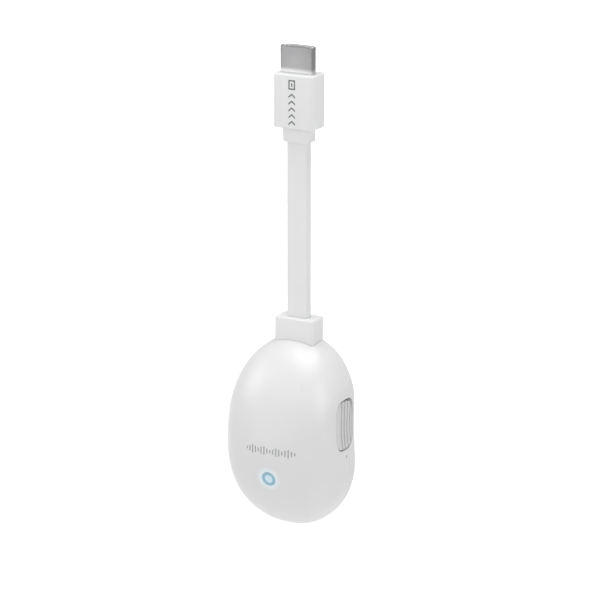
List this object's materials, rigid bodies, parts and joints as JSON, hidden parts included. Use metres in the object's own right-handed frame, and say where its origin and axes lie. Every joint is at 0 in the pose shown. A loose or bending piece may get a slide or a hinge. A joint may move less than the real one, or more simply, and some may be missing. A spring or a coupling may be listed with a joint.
{
  "type": "wireless media receiver",
  "caption": "Egg-shaped wireless media receiver with a ribbed side button and a light ring, hanging on a short flat cable from a video plug.",
  "frame": {"origin": "centre of the metal plug at the face where it leaves its grip", "axes": "+Z the way the plug points, -Y the front with the light ring, +X the side with the ribbed button"},
  "size_m": [0.0498, 0.035, 0.1889],
  "materials": {
    "plug_metal": "smooth nickel-plated steel, faint drawing lines",
    "liner": "moulded, fine texture",
    "contact": "gold-plated, smooth",
    "board": "solder-masked laminate",
    "lead": "smooth insulated leads",
    "white_soft": "fine moulded satin",
    "cable_jacket": "satin jacket",
    "white_gloss": "smooth satin gloss",
    "white_button": "smooth satin",
    "ring": "lit diffuser",
    "lens": "lit diffuser",
    "clear": "clear moulding",
    "lamp": "lamp body",
    "black_plastic": "moulded package",
    "stem": "smooth",
    "can_metal": "tinned, satin",
    "aluminium": "extruded, satin",
    "pad": "soft, matt",
    "ferrite": "sintered, matt",
    "antenna": "stamped copper alloy",
    "header": "moulded nylon",
    "screw": "black zinc"
  },
  "bodies": {
    "plug": {"plug_shell": "plug_metal", "plug_insulator": "liner", "plug_contact_01": "contact", "plug_contact_02": "contact", "plug_contact_03": "contact", "plug_contact_04": "contact", "plug_contact_05": "contact", "plug_contact_06": "contact", "plug_contact_07": "contact", "plug_contact_08": "contact", "plug_contact_09": "contact", "plug_contact_10": "contact", "plug_contact_11": "contact", "plug_contact_12": "contact", "plug_contact_13": "contact", "plug_contact_14": "contact", "plug_contact_15": "contact", "plug_contact_16": "contact", "plug_contact_17": "contact", "plug_contact_18": "contact", "plug_contact_19": "contact", "plug_card": "board", "plug_leads": "lead", "plug_overmold": "white_soft", "strain_relief": "white_soft", "flat_cable": "cable_jacket"},
    "receiver": {"cable_collar": "white_soft", "receiver_leads": "lead", "front_shell": "white_gloss", "rear_shell": "white_gloss", "main_board": "board", "processor": "black_plastic", "memory_chip": "black_plastic", "flash_chip": "black_plastic", "shield_can": "can_metal", "thermal_pad": "pad", "heat_sink": "aluminium", "wireless_module": "can_metal", "antenna_left": "antenna", "antenna_right": "antenna", "cable_header": "header", "power_inductor": "ferrite", "power_regulator": "black_plastic", "crystal": "can_metal", "status_led": "lamp", "light_pipe": "clear", "light_ring": "ring", "ring_lens": "lens", "side_switch_body": "black_plastic", "reset_switch_body": "black_plastic", "power_socket_shell": "can_metal", "power_socket_tongue": "black_plastic", "board_screw_1": "screw", "board_screw_2": "screw", "board_screw_3": "screw"},
    "side_button": {"side_button": "white_button"},
    "side_switch_stem": {"side_switch_stem": "stem"},
    "reset_stem": {"reset_stem": "stem"}
  },
  "joints": [
    {"name": "cable_flex", "type": "hinge", "parent": "plug", "child": "receiver", "pos_m": [0, 0, -0.06115], "axis": [1, 0, 0], "range_deg": [-90, 90], "stiffness_Nm_per_rad": 0.02, "deforming": ["flat_cable"]},
    {"name": "side_button_press", "type": "slide", "parent": "receiver", "child": "side_button", "axis": [-1, 0, 0], "range_m": [0, 0.0005], "stiffness_N_per_m": 1000},
    {"name": "side_switch_press", "type": "slide", "parent": "receiver", "child": "side_switch_stem", "axis": [-1, 0, 0], "range_m": [0, 0.0005]},
    {"name": "reset_press", "type": "slide", "parent": "receiver", "child": "reset_stem", "axis": [-1, 0, 0], "range_m": [0, 0.0003], "stiffness_N_per_m": 2000}
  ],
  "couplings": [
    {"joint": "side_switch_press", "follows": "side_button_press", "ratio": 1}
  ]
}
